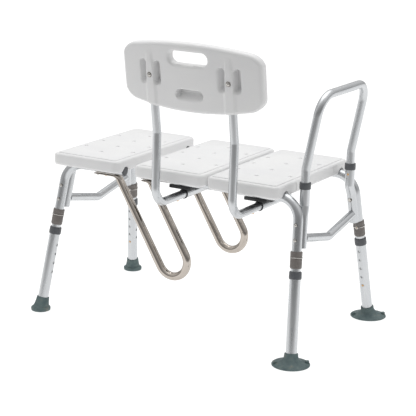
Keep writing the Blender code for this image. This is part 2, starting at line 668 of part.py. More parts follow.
def back_panel():
    """The curved backrest: handle slot, low recess, four slots beside the tubes, two tube pockets."""
    low_w, high_w = BACK_W
    mid_w, half_w = 0.5 * (low_w + high_w), 0.5 * (high_w - low_w)
    bm = bmesh.new()
    add_block(bm, (2.0 * BACK_HALF_U, 2.0 * half_w, BACK_T), BACK_CORNER, 4)
    round_rims(bm, 0.5 * BACK_T, BACK_EDGE, 2)
    near = [BACK_TUBE_U + sign * half for sign in (-1, 1) for half in RIDGE_HALF]
    lines = [sign * u for sign in (-1, 1) for u in (*BEND_LINES, *near)]
    slices = [((u, 0.0, 0.0), AXIS_X) for u in lines]
    slices += [((0.0, w - mid_w, 0.0), AXIS_Y) for w in RIDGE_FADE]
    for spot, normal in slices:
        bmesh.ops.bisect_plane(bm, geom=bm.verts[:] + bm.edges[:] + bm.faces[:], dist=WELD,
                               plane_co=spot, plane_no=normal)
    for vert in bm.verts:
        u, from_middle, depth = vert.co
        w = mid_w + from_middle * (1.0 - BACK_BOW * (u / BACK_HALF_U) ** 2)
        rear_share = min(1.0, max(0.0, depth / (0.25 * BACK_T)))
        lift = ridge_lift(u, mid_w + from_middle) * rear_share
        vert.co = back_point(u, BACK_REAR - 0.5 * BACK_T + depth - BACK_CURVE * u * u + lift, w)
    panel = add_part("backrest_panel", mesh_of("backrest_panel", bm), "white_plastic", ORIGIN)
    radius = bore_radius(SLIM_R + GAP)
    lean_up = (back_point(0.0, 0.0, 1.0) - back_point(0.0, 0.0, 0.0)).normalized()
    pockets = [(back_point(sign * BACK_TUBE_U, 0.0, BACK_POCKET_LOW), lean_up,
                BACK_TUBE_TOP + GAP - BACK_POCKET_LOW, radius, radius) for sign in (-1, 1)]
    cut(panel, cylinders("tube_pockets", pockets, TUBE_SIDES))
    recesses = [HANDLE_SLOT, LOW_RECESS]
    for u, w, half_u, half_h in SIDE_RECESSES:
        recesses += [(u, w, half_u, half_h), (-u, w, half_u, half_h)]
    for number, (u, w, half_u, half_h) in enumerate(recesses):
        through = number == 0
        floor = -CUT_REACH if through else BACK_REAR - BACK_CURVE * u * u - RECESS_DEPTH
        bm = bmesh.new()
        add_block(bm, (2.0 * half_u, 2.0 * half_h, CUT_REACH - floor), 0.8 * min(half_u, half_h), 2)
        place = recess_place(u, w, 0.5 * (floor + CUT_REACH))
        cut(panel, mesh_of("back_recess_%d" % number, bm, smooth=False), place)


clear_scene()
BENCH = new_collection(BENCH_NAME)
CUTTERS = new_collection(CUTTER_NAME)
ORIGIN = new_empty("bench_origin", Matrix.Translation(ORIGIN_SHIFT))

for panel_name in PANEL_X:
    seat_panel(panel_name)
for end_name in LEG_ENDS:
    for side_name in SIDES_Y:
        leg_axis = leg_frame(end_name, side_name)
        frame_leg(end_name, side_name)
        leg_extension(end_name, side_name, leg_axis)
        leg_collars(end_name, side_name, leg_axis)
        foot(end_name, side_name)
    cross_brace(end_name)
for side_name in SIDES_Y:
    leg_stub(side_name)
    arm_receiver(side_name)
    gap_rail(side_name)
armrest()
for hand_name, hand_sign in (("outer", 1.0), ("inner", -1.0)):
    back_side(hand_name, hand_sign)
back_panel()
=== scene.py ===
"""Looks of the bath transfer bench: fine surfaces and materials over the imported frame.

Metres, +Z up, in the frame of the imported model.  Lengths repeat the design: X runs along the seat,
the user faces -Y, the backrest stands at +Y, the outer end (+X) stands outside the bath.  Points are
laid out about the centre of the seat, and at() moves them into the frame of the model.
"""
from math import cos, pi, radians, sin, sqrt, tan

import bmesh
import bpy
from mathutils import Matrix, Vector

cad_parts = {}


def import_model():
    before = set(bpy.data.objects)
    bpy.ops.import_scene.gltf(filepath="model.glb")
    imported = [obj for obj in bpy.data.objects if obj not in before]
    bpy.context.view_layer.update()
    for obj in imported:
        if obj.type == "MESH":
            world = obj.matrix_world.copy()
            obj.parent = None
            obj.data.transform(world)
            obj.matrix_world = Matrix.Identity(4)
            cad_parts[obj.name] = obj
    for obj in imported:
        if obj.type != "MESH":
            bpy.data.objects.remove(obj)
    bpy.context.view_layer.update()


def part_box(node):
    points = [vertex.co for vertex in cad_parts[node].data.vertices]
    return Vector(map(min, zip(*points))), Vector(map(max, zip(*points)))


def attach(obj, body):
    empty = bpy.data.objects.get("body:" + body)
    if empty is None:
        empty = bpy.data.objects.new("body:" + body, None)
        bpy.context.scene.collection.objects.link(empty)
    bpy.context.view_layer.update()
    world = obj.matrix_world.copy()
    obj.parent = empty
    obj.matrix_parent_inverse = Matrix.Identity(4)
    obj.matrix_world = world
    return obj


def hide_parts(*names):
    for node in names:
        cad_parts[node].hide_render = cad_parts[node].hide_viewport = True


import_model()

AXIS_X = Vector((1.0, 0.0, 0.0))
AXIS_Y = Vector((0.0, 1.0, 0.0))
UP = Vector((0.0, 0.0, 1.0))

# ---- design dimensions --------------------------------------------------------------------------

INCH = 0.0254
LEG_R = 0.5 * INCH
EXTENSION_R = 0.5 * 1.125 * INCH
SLIM_R = 0.5 * 0.875 * INCH
BRACE_R = 0.5 * 0.875 * INCH
WALL = 0.0014

SEAT_TOP = 0.4460
PANEL_T = 0.035
PANEL_BOTTOM = SEAT_TOP - PANEL_T
PANEL_W = 0.2106
PANEL_D = 0.407
PANEL_CORNER = 0.018
PANEL_EDGE = 0.008
PANEL_RISE = 0.0020
PANEL_STEPS = ((0.0030, 0.0), (0.0002, 0.3 * PANEL_RISE), (0.0004, 0.5 * PANEL_RISE),
               (0.0008, 0.2 * PANEL_RISE))
PANEL_X = {"outer": 0.2417, "middle": -0.0194, "inner": -0.2417}
DRAIN_R = 0.0042
DRAIN_DISH_R = 0.0066
DRAIN_DISH_DEPTH = 0.0030
DRAIN_PITCH = (0.077, 0.0815)
DRAIN_ROWS = {-1: (-1.0, 0.0, 1.0), 0: (-1.5, -0.5, 0.5, 1.5), 1: (-1.0, 0.0, 1.0)}
CHANNEL_R = LEG_R + 0.0006
END_MOUTH_R = LEG_R + 0.0034
END_MOUTH_DEPTH = 0.014
END_FLAT = {"y": 0.108, "width": 0.0150, "height": 0.0200, "depth": 0.0012,
            "corner": 0.0008}
OUTER_CHANNEL_END = 0.320

FRAME_Z = 0.4115
FRAME_Y = 0.159
SPLAY_Y = 0.176
LEG_ENDS = {
    "outer": {"x": 0.3269, "splay": 0.101, "tube_start": 0.1379, "inward": -1.0},
    "inner": {"x": -0.385, "splay": -0.0712, "tube_start": 0.0844, "inward": 1.0},
}
SIDES_Y = {"rear": 1.0, "front": -1.0}
LEG_BEND = 0.058
LEG_TUBE_END = 0.082
PLUG_T = 0.003

EXTENSION = (0.0110, 0.2318)
EXTENSION_COLLAR = (0.2140, 0.2335)
LOCK_COLLAR = (0.2405, 0.2830)
LOCK_CLIP_Z = 0.2675
CLIP_WIRE_R = 0.0011
CLIP_LOOP_R = 0.0160
CLIP_HEAD_SEAT = 0.0148
CLIP_HEAD = ((0.0, 0.0), (0.0046, 0.0), (0.0046, 0.0012), (0.0030, 0.0020), (0.0026, 0.0020),
             (0.0022, 0.0012), (0.0, 0.0012))
CLIP_PIN = ((0.0, -0.001), (0.0020, -0.001), (0.0018, 0.0004), (0.0, 0.0009))
HOLE_PITCH = INCH
HOLE_LOW = 0.0975
HOLE_COUNT = 5
HOLE_R = 0.0036
# painted shade: outline of the thin dark ring set in each leg hole to stand in for the shadow inside it,
# (radius, reach along the hole)
HOLE_SHADE_RING = ((HOLE_R + 0.0003, 0.0003), (HOLE_R + 0.0003, 0.0011), (HOLE_R - 0.0002, 0.0011),
               (HOLE_R - 0.0002, 0.0003))
BUTTON_R = 0.0033
BOLT_Z = (0.312, 0.350)

# outlines of the feet: (radius, height)
TIP_BASE = ((0.0, 0.0020), (0.0180, 0.0020), (0.0200, 0.0), (0.0262, 0.0), (0.0272, 0.0060),
            (0.0262, 0.0090), (0.0222, 0.0108))
TIP_BOSS = ((0.0202, 0.0150), (0.0180, 0.0270), (0.0168, 0.0370), (0.0146, 0.0372),
            (EXTENSION_R - 0.0002, 0.0300))
SUCTION_BASE = ((0.0020, 0.0085), (0.0200, 0.0075), (0.0400, 0.0030), (0.0480, 0.0), (0.0494, 0.0012),
                (0.0490, 0.0030), (0.0420, 0.0052), (0.0300, 0.0088), (0.0225, 0.0128))
SUCTION_BOSS = ((0.0190, 0.0180), (0.0178, 0.0240), (0.0177, 0.0290), (0.0150, 0.0294),
                (EXTENSION_R - 0.0002, 0.0240))
TAB_SIZE = (0.0100, 0.0110, 0.0075)
TAB_TURNS = (radians(35.0), radians(215.0))
TAB_REACH = 0.0415
TAB_Z = 0.0068

STUB_OFFSET_Y = 0.0261
STUB = (0.285, 0.385)
ARM_X = -0.3862
ARM_Y = 0.131
ARM_END_Z = 0.394
ARM_KINK_Z = 0.483
ARM_TOP_Z = 0.673
ARM_LEAN = 0.193
ARM_CORNER = 0.052
ARM_KINK_BEND = 0.035
ARM_BUTTON_Z = 0.422
RECEIVER_TOP_Z = 0.446
RECEIVER_KINK_Z = (0.389, 0.365)
RECEIVER_BENDS = (0.012, 0.030)
ARM_COLLAR = (0.4335, 0.4505)

BRACE_KINK_Z = 0.279
BRACE_END = (0.1400, 0.3080)
BRACE_BEND = 0.030

RAIL_Y = 0.1555
RAIL_TILT = radians(31.0)
RAIL_TURN = 0.0445
RAIL_CENTRE = (-0.0127, 0.1885)
RAIL_BEND = 0.018
TONGUE_Z = 0.3948
TONGUE_HALF = (0.0125, 0.0018)
TONGUE_ENDS = (0.235, 0.0835)
TONGUE_SCREWS = ((0.167, "dark"), (0.202, "brass"), (0.229, "dark"))
INNER_SCREW_X = 0.0775
PANEL_SCREW = (-0.002, 0.172)

BACK_X = -0.1292
BACK_TUBE_U = 0.114
BACK_KINK = (0.2445, 0.552)
BACK_LEAN = radians(9.0)
BACK_LOW = (0.250, 0.362)
BACK_TUBE_TOP = 0.12
BACK_TUBE_BENDS = (0.045, 0.020)
BACK_HALF_U = 0.2015
BACK_W = (0.0695, 0.2490)
BACK_CORNER = 0.036
BACK_EDGE = 0.0100
BACK_BOW = 0.247
BACK_T = 0.0285
FACE_BLEND = 0.35 * BACK_T
BACK_REAR = 0.0159
BACK_CURVE = 0.4125
RIDGE_HEIGHT = 0.0042
RIDGE_HALF = (0.0105, 0.0175)
RIDGE_FADE = (0.190, 0.228)
HANDLE_SLOT = (0.0, 0.2105, 0.056, 0.0175)
SLOT_ROUNDING = 0.006
LOW_RECESS = (0.0, 0.1165, 0.0400, 0.0150)
SIDE_RECESS = (0.0225, 0.1640, 0.0115, 0.0330)
RECESS_DEPTH = 0.0205
RECESS_WALL = 0.0040
RECESS_RAMP = 0.0140
BACK_BOLT_W = 0.1585
BACK_CELL = 0.0026

BACK_TUBE_END_Y = 0.0
BACK_RECEIVER_Y = (-0.05, 0.110)
MOUTH_RING = 0.0016
BACK_BUTTON_Y = 0.140
BRACKET_HALF = 0.033
BRACKET_OUTLINE = ((0.030, 0.3751), (0.100, 0.3751), (0.100, 0.3790), (0.130, 0.3790),
                   (0.130, 0.3880), (0.122, 0.3880), (0.122, PANEL_BOTTOM), (0.030, PANEL_BOTTOM))

TUBE_SIDES = 40
BEND_STEPS = 14


def seat_centre():
    """Where the centre of the seat stands in the model's frame."""
    middle = Vector((0.0, 0.0, 0.0))
    for place in ("outer", "inner"):
        low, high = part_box("seat_panel_" + place)
        middle += 0.25 * (low + high)
    return Vector((middle.x, middle.y, 0.0))


SEAT = seat_centre()


def at(x, y, z):
    """A point given about the centre of the seat, in the model's frame."""
    return Vector((x, y, z)) + SEAT


# ---- materials ----------------------------------------------------------------------------------

class Paint:
    """A Principled material with short calls for its texture nodes."""

    def __init__(self, name, colour, metallic, roughness):
        self.material = bpy.data.materials.new(name)
        self.material.use_nodes = True
        self.tree = self.material.node_tree
        self.shader = self.tree.nodes["Principled BSDF"]
        self.set("Base Color", (*colour, 1.0))
        self.set("Metallic", metallic)
        self.set("Roughness", roughness)

    def set(self, socket, value):
        """Set a constant on the shader."""
        self.shader.inputs[socket].default_value = value

    def link(self, output, target):
        """Join two sockets."""
        self.tree.links.new(output, target)

    def noise(self, scale, detail=2.0, stretch=(1.0, 1.0, 1.0), space="Object"):
        """A noise value over the surface."""
        place = self.tree.nodes.new("ShaderNodeTexCoord")
        mapping = self.tree.nodes.new("ShaderNodeMapping")
        mapping.inputs["Scale"].default_value = stretch
        texture = self.tree.nodes.new("ShaderNodeTexNoise")
        texture.inputs["Scale"].default_value = scale
        texture.inputs["Detail"].default_value = detail
        self.link(place.outputs[space], mapping.inputs["Vector"])
        self.link(mapping.outputs["Vector"], texture.inputs["Vector"])
        return texture.outputs["Fac"]

    def ramp(self, value, stops):
        """A colour ramp; stops are (position, colour)."""
        node = self.tree.nodes.new("ShaderNodeValToRGB")
        while len(node.color_ramp.elements) < len(stops):
            node.color_ramp.elements.new(0.5)
        for element, (position, colour) in zip(node.color_ramp.elements, stops):
            element.position = position
            element.color = (*colour, 1.0)
        self.link(value, node.inputs["Fac"])
        return node.outputs["Color"]

    def spread(self, value, low, high, from_low=0.3, from_high=0.7):
        """A noise value mapped onto a range."""
        node = self.tree.nodes.new("ShaderNodeMapRange")
        for socket, number in (("From Min", from_low), ("From Max", from_high),
                               ("To Min", low), ("To Max", high)):
            node.inputs[socket].default_value = number
        self.link(value, node.inputs["Value"])
        return node.outputs["Result"]

    def colour(self, value, stops):
        """Vary the base colour."""
        self.link(self.ramp(value, stops), self.shader.inputs["Base Color"])

    def rough(self, value, low, high):
        """Vary the roughness."""
        self.link(self.spread(value, low, high), self.shader.inputs["Roughness"])

    def bump(self, value, depth):
        """Raise the surface by a value."""
        node = self.tree.nodes.new("ShaderNodeBump")
        node.inputs["Strength"].default_value = 1.0
        node.inputs["Distance"].default_value = depth
        self.link(value, node.inputs["Height"])
        self.link(node.outputs["Normal"], self.shader.inputs["Normal"])


def white_plastic():
    """Blow-moulded polyethylene: soft sheen, faint mottling and a fine pebbled grain."""
    paint = Paint("white_moulded_plastic", (0.80, 0.80, 0.80), 0.0, 0.42)
    paint.colour(paint.noise(9.0, 4.0), ((0.35, (0.785, 0.785, 0.790)), (0.65, (0.815, 0.815, 0.812))))
    paint.rough(paint.noise(60.0), 0.40, 0.52)
    paint.bump(paint.noise(700.0, 2.0), 0.00004)
    return paint.material


def satin_aluminium():
    """Anodised tube: faint cloudy changes of gloss, drawn out along its length."""
    paint = Paint("satin_anodised_aluminium", (0.70, 0.715, 0.73), 1.0, 0.28)
    clouds = paint.noise(1.0, 2.0, stretch=(5.0, 9.0, 1.0), space="UV")
    paint.colour(clouds, ((0.30, (0.53, 0.545, 0.560)), (0.70, (0.60, 0.612, 0.622))))
    paint.rough(clouds, 0.25, 0.33)
    return paint.material


def bright_chrome():
    """Nickel-chrome plated steel with faint polishing marks."""
    paint = Paint("bright_nickel_chrome", (0.60, 0.555, 0.505), 1.0, 0.07)
    marks = paint.noise(1.0, 2.0, stretch=(4.0, 30.0, 1.0), space="UV")
    paint.colour(marks, ((0.30, (0.46, 0.415, 0.370)), (0.70, (0.52, 0.475, 0.430))))
    paint.rough(marks, 0.07, 0.12)
    return paint.material


def moulded_plastic(name, dark, light, low_rough, high_rough):
    """A dark moulded plastic with a fine grain and slight colour changes."""
    paint = Paint(name, dark, 0.0, low_rough)
    paint.colour(paint.noise(70.0, 3.0), ((0.3, dark), (0.7, light)))
    paint.rough(paint.noise(220.0), low_rough, high_rough)
    paint.bump(paint.noise(1400.0), 0.00008)
    return paint.material


def brass_button():
    """Brass with handling marks."""
    paint = Paint("brass", (0.72, 0.47, 0.24), 1.0, 0.25)
    tarnish = paint.noise(400.0, 3.0)
    paint.colour(tarnish, ((0.3, (0.58, 0.34, 0.17)), (0.7, (0.80, 0.56, 0.32))))
    paint.rough(tarnish, 0.20, 0.38)
    return paint.material


def bright_steel(name, colour):
    """Plated fastener steel with a little wear."""
    paint = Paint(name, colour, 1.0, 0.22)
    wear = paint.noise(500.0, 3.0)
    paint.colour(wear, ((0.3, tuple(0.75 * part for part in colour)), (0.7, colour)))
    paint.rough(wear, 0.16, 0.34)
    return paint.material


def foot_rubber():
    """Teal-grey rubber with scuffs and dusty tan smudges."""
    paint = Paint("foot_rubber", (0.09, 0.135, 0.14), 0.0, 0.6)
    paint.colour(paint.noise(55.0, 5.0), ((0.30, (0.068, 0.105, 0.110)), (0.58, (0.105, 0.150, 0.150)),
                                          (0.66, (0.140, 0.165, 0.150)), (0.78, (0.235, 0.225, 0.180))))
    paint.rough(paint.noise(130.0, 3.0), 0.48, 0.78)
    paint.bump(paint.noise(700.0, 3.0), 0.00015)
    return paint.material


WHITE = white_plastic()
ALUMINIUM = satin_aluminium()
CHROME = bright_chrome()
BRASS = brass_button()
STEEL = bright_steel("fastener_steel", (0.66, 0.64, 0.61))
DARK_STEEL = bright_steel("dark_fastener_steel", (0.20, 0.185, 0.165))
RUBBER = foot_rubber()
BLACK = moulded_plastic("black_plastic", (0.018, 0.019, 0.021), (0.032, 0.033, 0.035), 0.35, 0.50)
GREY = moulded_plastic("dark_grey_plastic", (0.075, 0.080, 0.090), (0.100, 0.105, 0.112), 0.42, 0.55)
TAUPE = moulded_plastic("taupe_plastic", (0.145, 0.130, 0.122), (0.190, 0.172, 0.160), 0.45, 0.60)
# painted shade: near-black material for the rings that darken the leg holes, where there is only shadow
PAINTED_HOLE_SHADE = moulded_plastic("hole_shadow", (0.060, 0.061, 0.063), (0.090, 0.090, 0.092), 0.60, 0.75)


# ---- mesh helpers -------------------------------------------------------------------------------

def show(name, mesh, material, body, nodes=()):
    """Link a piece, give it its material, put it on its body and hide the solids it stands for."""
    piece = bpy.data.objects.new(name, mesh)
    bpy.context.scene.collection.objects.link(piece)
    mesh.materials.append(material)
    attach(piece, body)
    if nodes:
        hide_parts(*nodes)
    return piece


def smooth(mesh, angle=38.0):
    """Smooth rounds, sharp corners."""
    mesh.shade_smooth()
    mesh.set_sharp_from_angle(angle=radians(angle))
    return mesh


def smooth_step(value):
    """0 below 0, 1 above 1, eased between."""
    value = min(1.0, max(0.0, value))
    return value * value * (3.0 - 2.0 * value)


def face_out(bm):
    """Turn all faces of a closed shape outwards."""
    bmesh.ops.recalc_face_normals(bm, faces=bm.faces)
    if bm.calc_volume(signed=True) < 0.0:
        bmesh.ops.reverse_faces(bm, faces=bm.faces)


def skin(name, rows, closed=False):
    """A mesh over rows of points, with a UV map: round the row, and along it in metres."""
    count = len(rows[0])
    points = [point for row in rows for point in row]
    lengths = [0.0]
    for before, after in zip(rows, rows[1:]):
        lengths.append(lengths[-1] + (after[0] - before[0]).length)
    bands = [(index, index + 1) for index in range(len(rows) - 1)]
    if closed:
        bands.append((len(rows) - 1, 0))
    faces, uvs = [], []
    for low, high in bands:
        for side in range(count):
            after = (side + 1) % count
            faces.append((low * count + side, low * count + after, high * count + after,
                          high * count + side))
            left, right = side / count, (side + 1) / count
            uvs += [(left, lengths[low]), (right, lengths[low]), (right, lengths[high]),
                    (left, lengths[high])]
    if not closed:
        faces += [tuple(range(count))[::-1], tuple(range((len(rows) - 1) * count, len(rows) * count))]
        uvs += [(0.0, 0.0)] * (2 * count)
    mesh = bpy.data.meshes.new(name)
    mesh.from_pydata(points, [], faces)
    layer = mesh.uv_layers.new(name="surface")
    for corner, uv in zip(layer.data, uvs):
        corner.uv = uv
    bm = bmesh.new()
    bm.from_mesh(mesh)
    face_out(bm)
    bm.to_mesh(mesh)
    bm.free()
    return smooth(mesh)


def ring(centre, first, second, size_a, size_b, sides):
    """A loop of points about a centre."""
    angles = [2.0 * pi * step / sides for step in range(sides)]
    return [centre + first * (size_a * cos(angle)) + second * (size_b * sin(angle)) for angle in angles]


def square_pair(axis, side=None):
    """Two unit vectors square to an axis and to each other, the first near the given side."""
    axis = axis.normalized()
    if side is None:
        side = AXIS_Y if abs(axis.x) > abs(axis.y) else AXIS_X
    first = (side - side.dot(axis) * axis).normalized()
    return first, axis.cross(first)


def softened(profile, radius, steps=4):
    """A profile with its inner corners rounded; corners too tight for the radius get less."""
    points = [Vector(point) for point in profile]
    result = [points[0]]
    for before, corner, after in zip(points, points[1:], points[2:]):
        back, ahead = before - corner, after - corner
        reach = min(radius, 0.45 * back.length, 0.45 * ahead.length)
        start, end = corner + back.normalized() * reach, corner + ahead.normalized() * reach
        for step in range(steps + 1):
            share = step / steps
            result.append(start * (1.0 - share) ** 2 + corner * (2.0 * share * (1.0 - share))
                          + end * share ** 2)
    return [tuple(point) for point in result + [points[-1]]]


def turned_rows(origin, axis, profile, sides, side=None):
    """Rows of a turned shape: (radius, height) along an axis."""
    axis = axis.normalized()
    first, second = square_pair(axis, side)
    return [ring(origin + axis * height, first, second, radius, radius, sides)
            for radius, height in profile]


def turned(name, origin, axis, profile, material, body, nodes=(), rounding=0.0, sides=40, side=None):
    """A turned piece."""
    if rounding:
        profile = softened(profile, rounding)
    rows = turned_rows(origin, axis, profile, sides, side)
    return show(name, skin(name, rows), material, body, nodes)


def bent_path(points, radii, steps=BEND_STEPS):
    """Points of straight runs joined by round bends."""
    path = [points[0]]
    for index in range(1, len(points) - 1):
        corner, radius = points[index], radii[index - 1]
        before = (corner - points[index - 1]).normalized()
        after = (points[index + 1] - corner).normalized()
        turn = before.angle(after)
        centre = corner + (after - before).normalized() * (radius / cos(0.5 * turn))
        arm = corner - before * (radius * tan(0.5 * turn)) - centre
        axis = before.cross(after).normalized()
        count = max(3, round(steps * turn / (0.5 * pi)))
        for step in range(count + 1):
            path.append(centre + Matrix.Rotation(turn * step / count, 3, axis) @ arm)
    return path + [points[-1]]


def path_frames(path, side):
    """Heading and square pair at each point of a path, carried along without twist."""
    frames = []
    first = None
    for index, point in enumerate(path):
        heading = (path[min(index + 1, len(path) - 1)] - path[max(index - 1, 0)]).normalized()
        first = (side if first is None else first)
        first = (first - first.dot(heading) * heading).normalized()
        frames.append((point, first, heading.cross(first), heading))
    return frames


def tube(name, path, radius, side, material, body, nodes=(), open_start=False, open_end=False):
    """A round tube along a path; an open end shows its wall and bore."""
    frames = path_frames(path, side)
    rows = [ring(point, first, second, radius, radius, TUBE_SIDES) for point, first, second, _ in frames]
    bore, depth = radius - WALL, 3.0 * radius
    if open_start:
        point, first, second, heading = frames[0]
        rows = [ring(point + heading * reach, first, second, bore, bore, TUBE_SIDES)
                for reach in (depth, 0.0)] + rows
    if open_end:
        point, first, second, heading = frames[-1]
        rows += [ring(point - heading * reach, first, second, bore, bore, TUBE_SIDES)
                 for reach in (0.0, depth)]
    return show(name, skin(name, rows), material, body, nodes)


def bolt(name, seat, way, body, across=0.0040, material=STEEL, hexagonal=False):
    """A fastener seen from its end: a washer under a domed or hexagonal head."""
    washer = ((0.0, 0.0), (1.30 * across, 0.0), (1.30 * across, 0.0008), (0.0, 0.0008))
    turned(name + "_washer", seat, way, softened(washer, 0.0002), DARK_STEEL, body, sides=24)
    if hexagonal:
        head = ((0.0, 0.0006), (across, 0.0006), (across, 0.0038), (0.82 * across, 0.0046), (0.0, 0.0046))
        return turned(name, seat, way, head, material, body, sides=6)
    head = [(0.0, 0.0006), (across, 0.0006), (across, 0.0014)]
    head += [(across * cos(angle), 0.0014 + 0.0022 * sin(angle))
             for angle in (radians(step) for step in (20, 40, 60, 75))]
    head += [(0.22 * across, 0.0034), (0.20 * across, 0.0022), (0.0, 0.0022)]
    return turned(name, seat, way, head, material, body, sides=24)


def snap_dome(name, base, way, height, body, node):
    """The head of a snap button standing in its hole."""
    profile = [(0.0, -0.0040), (BUTTON_R, -0.0040), (BUTTON_R, height - BUTTON_R * 0.75)]
    profile += [(BUTTON_R * cos(angle), height - BUTTON_R * 0.75 + 0.75 * BUTTON_R * sin(angle))
                for angle in (radians(step) for step in (20, 40, 60, 80))]
    profile.append((0.0, height))
    return turned(name, base, way, profile, BRASS, body, nodes=(node,), sides=24)


def block(size, corner, corner_steps, edge=0.0, edge_steps=1):
    """A bmesh box about the origin with rounded upright edges and rounded rims."""
    bm = bmesh.new()
    made = bmesh.ops.create_cube(bm, size=1.0, matrix=Matrix.Diagonal((*size, 1.0)))
    edges = {side for vert in made["verts"] for side in vert.link_edges}
    upright = [side for side in edges if abs(side.verts[0].co.z - side.verts[1].co.z) > 0.5 * size[2]]
    bmesh.ops.bevel(bm, geom=upright, offset=corner, segments=corner_steps, profile=0.5, affect="EDGES")
    if edge:
        rims = [side for side in bm.edges if abs(side.verts[0].co.z - side.verts[1].co.z) < 0.5 * size[2]]
        bmesh.ops.bevel(bm, geom=rims, offset=edge, segments=edge_steps, profile=0.5, affect="EDGES")
    face_out(bm)
    return bm


def mesh_from(name, bm):
    """A mesh from a bmesh, facing out."""
    face_out(bm)
    mesh = bpy.data.meshes.new(name)
    bm.to_mesh(mesh)
    bm.free()
    return mesh


def carve(mesh, cutters):
    """Take cutter meshes out of a mesh and return the result."""
    body = bpy.data.objects.new("carved", mesh)
    bpy.context.scene.collection.objects.link(body)
    tools = []
    for cutter_mesh, place in cutters:
        tool = bpy.data.objects.new("cutter", cutter_mesh)
        bpy.context.scene.collection.objects.link(tool)
        tool.matrix_world = place
        modifier = body.modifiers.new("cut", "BOOLEAN")
        modifier.operation = "DIFFERENCE"
        modifier.object = tool
        tools.append(tool)
    graph = bpy.context.evaluated_depsgraph_get()
    result = bpy.data.meshes.new_from_object(body.evaluated_get(graph))
    for obj in [body, *tools]:
        bpy.data.objects.remove(obj, do_unlink=True)
    result.name = mesh.name
    return result


def rods(name, items, sides):
    """One cutter mesh of several rods: (start, axis, length, half sizes)."""
    bm = bmesh.new()
    for start, axis, length, (size_a, size_b) in items:
        first, second = square_pair(axis, AXIS_X if abs(axis.x) < 0.9 else AXIS_Y)
        turn = Matrix((first, second, axis)).transposed().to_4x4()
        place = Matrix.Translation(start + axis * (0.5 * length)) @ turn
        bmesh.ops.create_cone(bm, cap_ends=True, segments=sides, radius1=1.0, radius2=1.0, depth=1.0,
                              matrix=place @ Matrix.Diagonal((size_a, size_b, length, 1.0)))
    return mesh_from(name, bm)


# ---- seat ---------------------------------------------------------------------------------------

def drain_cutter(bm, spot):
    """Add the shape of one dished drain hole, standing at a spot of the seat's top."""
    rise = 0.001
    slope = (DRAIN_DISH_R - DRAIN_R) / DRAIN_DISH_DEPTH
    profile = ((DRAIN_R, -1.5 * PANEL_T), (DRAIN_R, -DRAIN_DISH_DEPTH),
               (DRAIN_R + 0.35 * (DRAIN_DISH_R - DRAIN_R), -0.45 * DRAIN_DISH_DEPTH),
               (DRAIN_DISH_R + slope * rise, rise))
    mesh = skin("drain", turned_rows(spot, UP, profile, 28))
    bm.from_mesh(mesh)
    bpy.data.meshes.remove(mesh)


def end_cutters(place):
    """Cutters for the end wall of an outer or inner panel: tube mouths and shallow upright flats."""
    out = 1.0 if place == "outer" else -1.0
    wall_x = PANEL_X[place] + out * 0.5 * PANEL_W
    mouths, flats = [], bmesh.new()
    for sign in SIDES_Y.values():
        start = at(wall_x - out * END_MOUTH_DEPTH, sign * FRAME_Y, FRAME_Z)
        mouths.append((start, AXIS_X * out, 2.0 * END_MOUTH_DEPTH, (END_MOUTH_R, END_MOUTH_R)))
        flat = block((2.0 * END_FLAT["depth"], END_FLAT["width"], END_FLAT["height"]),
                     END_FLAT["corner"], 2)
        spot = at(wall_x, sign * END_FLAT["y"], SEAT_TOP - 0.5 * PANEL_T)
        bmesh.ops.translate(flat, verts=flat.verts, vec=spot)
        flats.from_mesh(mesh_from("flat", flat))
    still = Matrix.Identity(4)
    return [(rods("mouths", mouths, 40), still), (mesh_from("flats", flats), still)]


def seat_panel(place):
    """One seat panel: bullnose rim, raised top with a soft step, drain holes, channels underneath."""
    name = "seat_panel_%s_moulding" % place
    bm = block((PANEL_W, PANEL_D, PANEL_T - PANEL_RISE), PANEL_CORNER, 10, PANEL_EDGE, 7)
    bmesh.ops.translate(bm, verts=bm.verts, vec=(0.0, 0.0, -0.5 * PANEL_RISE))
    top = max(bm.faces, key=lambda face: face.calc_center_median().z)
    for thickness, depth in PANEL_STEPS:
        bmesh.ops.inset_region(bm, faces=[top], thickness=thickness, depth=depth)
    centre = at(PANEL_X[place], 0.0, SEAT_TOP - 0.5 * PANEL_T)
    bmesh.ops.translate(bm, verts=bm.verts, vec=centre)
    drains = bmesh.new()
    for column, rows in DRAIN_ROWS.items():
        for row in rows:
            spot = centre + Vector((column * DRAIN_PITCH[0], row * DRAIN_PITCH[1], 0.5 * PANEL_T))
            drain_cutter(drains, spot)
    start_x = PANEL_X[place] - PANEL_W
    end_x = OUTER_CHANNEL_END if place == "outer" else PANEL_X[place] + PANEL_W
    channels = [(at(start_x, sign * FRAME_Y, FRAME_Z), AXIS_X, end_x - start_x, (CHANNEL_R, CHANNEL_R))
                for sign in SIDES_Y.values()]
    still = Matrix.Identity(4)
    cutters = [(mesh_from("drains", drains), still), (rods("channels", channels, 48), still)]
    if place != "middle":
        cutters += end_cutters(place)
    mesh = carve(mesh_from(name, bm), cutters)
    show(name, smooth(mesh, 30.0), WHITE, "bench", ("seat_panel_" + place,))


# ---- legs ---------------------------------------------------------------------------------------

def leg_point(end, side, z):
    """Where the straight line of a leg passes a height."""
    leg = LEG_ENDS[end]
    drop = FRAME_Z - z
    return at(leg["x"] + leg["splay"] * drop, SIDES_Y[side] * (FRAME_Y + SPLAY_Y * drop), z)


def leg_up(end, side):
    """Unit vector up a leg."""
    return (leg_point(end, side, FRAME_Z) - leg_point(end, side, 0.0)).normalized()


def inwards(end, side):
    """Unit vector square to a leg, towards the middle of the bench along Y."""
    return square_pair(leg_up(end, side), Vector((0.0, -SIDES_Y[side], 0.0)))[0]


def on_leg(name, end, side, profile, material, body, node, rounding):
    """A turned piece about a leg; profile heights are heights above the floor."""
    up = leg_up(end, side)
    along = [(radius, z / up.z) for radius, z in profile]
    return turned(name, leg_point(end, side, 0.0), up, along, material, body, (node,), rounding,
                  side=inwards(end, side))


